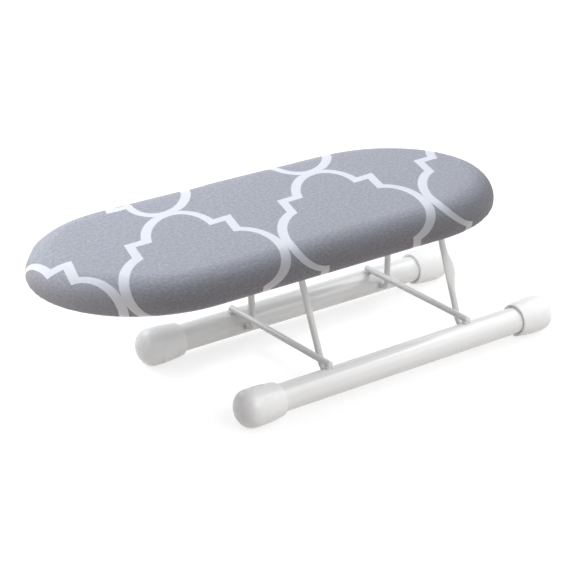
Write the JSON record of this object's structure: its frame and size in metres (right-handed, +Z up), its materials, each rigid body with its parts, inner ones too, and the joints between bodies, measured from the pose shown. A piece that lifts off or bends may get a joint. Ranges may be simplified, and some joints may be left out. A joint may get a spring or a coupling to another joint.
{
  "type": "tabletop ironing board",
  "caption": "Short padded tabletop ironing board with a rounded nose and tail, in a printed cotton cover, on a folding white wire stand with capped foot tubes.",
  "frame": {"origin": "on the table, under the middle of the object's length and width", "axes": "+X along the board from nose to tail, +Y across it from the front tube to the rear tube, +Z up"},
  "size_m": [0.5186, 0.1826, 0.1602],
  "materials": {
    "printed_cotton": "woven cotton with a white printed trellis",
    "padding_foam": "open-cell foam",
    "board_steel": "satin grey paint",
    "elastic_braid": "braided elastic cord",
    "clip_steel": "zinc plated strip",
    "rivet_steel": "zinc plated",
    "painted_wire": "white powder coat",
    "painted_tube": "glossy off-white powder coat",
    "cap_plastic": "soft white moulded plastic"
  },
  "bodies": {
    "base": {"front_foot_tube": "painted_tube", "rear_foot_tube": "painted_tube", "front_nose_cap": "cap_plastic", "front_tail_cap": "cap_plastic", "rear_nose_cap": "cap_plastic", "rear_tail_cap": "cap_plastic", "nose_cross_wire": "painted_wire", "tail_cross_wire": "painted_wire"},
    "nose_leg": {"nose_leg": "painted_wire"},
    "tail_leg": {"tail_leg": "painted_wire"},
    "board": {"cotton_cover": "printed_cotton", "foam_pad": "padding_foam", "perforated_sheet": "board_steel", "rim_band": "board_steel", "hem_elastic": "elastic_braid", "nose_front_clip": "clip_steel", "nose_rear_clip": "clip_steel", "tail_front_clip": "clip_steel", "tail_rear_clip": "clip_steel", "nose_front_fore_rivet": "rivet_steel", "nose_front_aft_rivet": "rivet_steel", "nose_rear_fore_rivet": "rivet_steel", "nose_rear_aft_rivet": "rivet_steel", "tail_front_fore_rivet": "rivet_steel", "tail_front_aft_rivet": "rivet_steel", "tail_rear_fore_rivet": "rivet_steel", "tail_rear_aft_rivet": "rivet_steel"}
  },
  "joints": [
    {"name": "nose_leg_fold", "type": "hinge", "parent": "base", "child": "nose_leg", "pos_m": [0.00276, 0, 0.0171], "axis": [0, 1, 0], "range_deg": [0, 87.5]},
    {"name": "tail_leg_fold", "type": "hinge", "parent": "base", "child": "tail_leg", "pos_m": [0.16776, 0, 0.0171], "axis": [0, 1, 0], "range_deg": [0, 87.5]},
    {"name": "board_level", "type": "hinge", "parent": "nose_leg", "child": "board", "pos_m": [-0.02426, 0, 0.14426], "axis": [0, 1, 0], "range_deg": [-87.5, 0]}
  ],
  "couplings": [
    {"joint": "tail_leg_fold", "follows": "nose_leg_fold", "ratio": 1},
    {"joint": "board_level", "follows": "nose_leg_fold", "ratio": -1}
  ]
}
